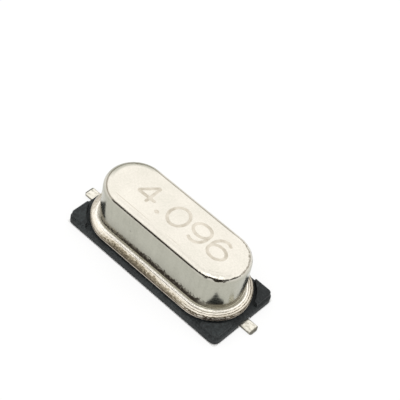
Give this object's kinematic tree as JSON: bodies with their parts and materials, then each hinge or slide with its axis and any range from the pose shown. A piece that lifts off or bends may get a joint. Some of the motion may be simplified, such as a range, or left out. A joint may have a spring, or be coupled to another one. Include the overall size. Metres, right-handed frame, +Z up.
{
  "type": "crystal oscillator",
  "caption": "Surface-mount quartz crystal in a welded oval metal can on a black moulded insulator, with a flat tinned solder lead at each end.",
  "frame": {"origin": "centre of the part on the solder plane, the underside of both leads", "axes": "+X along the can towards the right lead, +Y across the can, +Z up from the board"},
  "size_m": [0.013, 0.0048, 0.0038],
  "materials": {
    "moulded_insulator": "matte",
    "nickel_can": "satin",
    "header_plate": "satin",
    "sealing_glass": "glossy",
    "tinned_lead": "satin",
    "clip_strip": "satin",
    "quartz": "satin",
    "silver_film": "satin",
    "silver_adhesive": "matte"
  },
  "bodies": {
    "root": {"insulator_base": "moulded_insulator", "header": "header_plate", "cap": "nickel_can", "glass_seal_left": "sealing_glass", "glass_seal_right": "sealing_glass", "lead_left": "tinned_lead", "lead_right": "tinned_lead", "support_clip_left": "clip_strip", "support_clip_right": "clip_strip", "quartz_blank": "quartz", "electrode_top": "silver_film", "electrode_bottom": "silver_film", "adhesive_left": "silver_adhesive", "adhesive_right": "silver_adhesive"}
  },
  "joints": []
}
